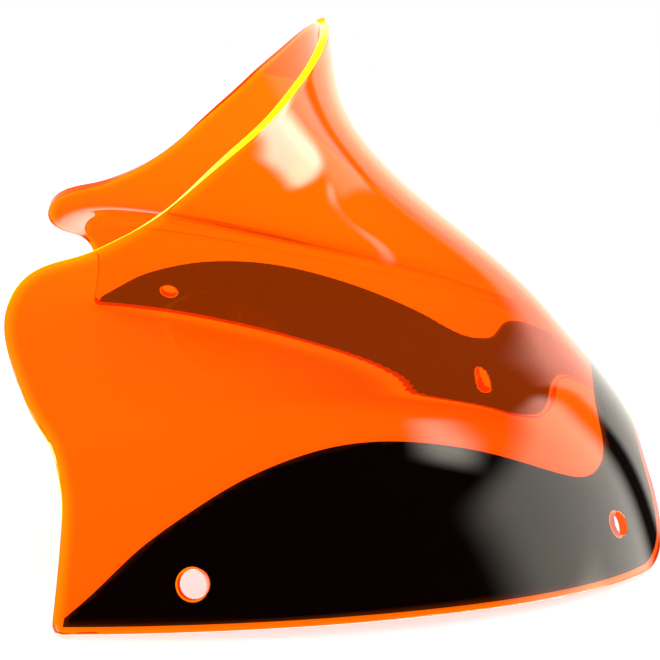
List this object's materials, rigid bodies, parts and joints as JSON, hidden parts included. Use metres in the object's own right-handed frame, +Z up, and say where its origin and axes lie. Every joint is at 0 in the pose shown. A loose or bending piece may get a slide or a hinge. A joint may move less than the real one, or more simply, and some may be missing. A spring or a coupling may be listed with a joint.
{
  "type": "windshield screen",
  "caption": "Clear orange wrap-round motorcycle fairing screen with a kicked-up lip, flared rear ears and a black printed border with fixing holes.",
  "frame": {"origin": "middle of the footprint, on the plane that the foot edge stands on", "axes": "+X across the screen, -Y forward to the nose, +Z up to the lip"},
  "size_m": [0.555, 0.353, 0.2489],
  "materials": {
    "sheet": "polished fluorescent orange clear acrylic, glowing yellow at the cut edges",
    "print": "gloss black print seen through the sheet"
  },
  "bodies": {
    "root": {"screen": "sheet", "border_print": "print"}
  },
  "joints": []
}
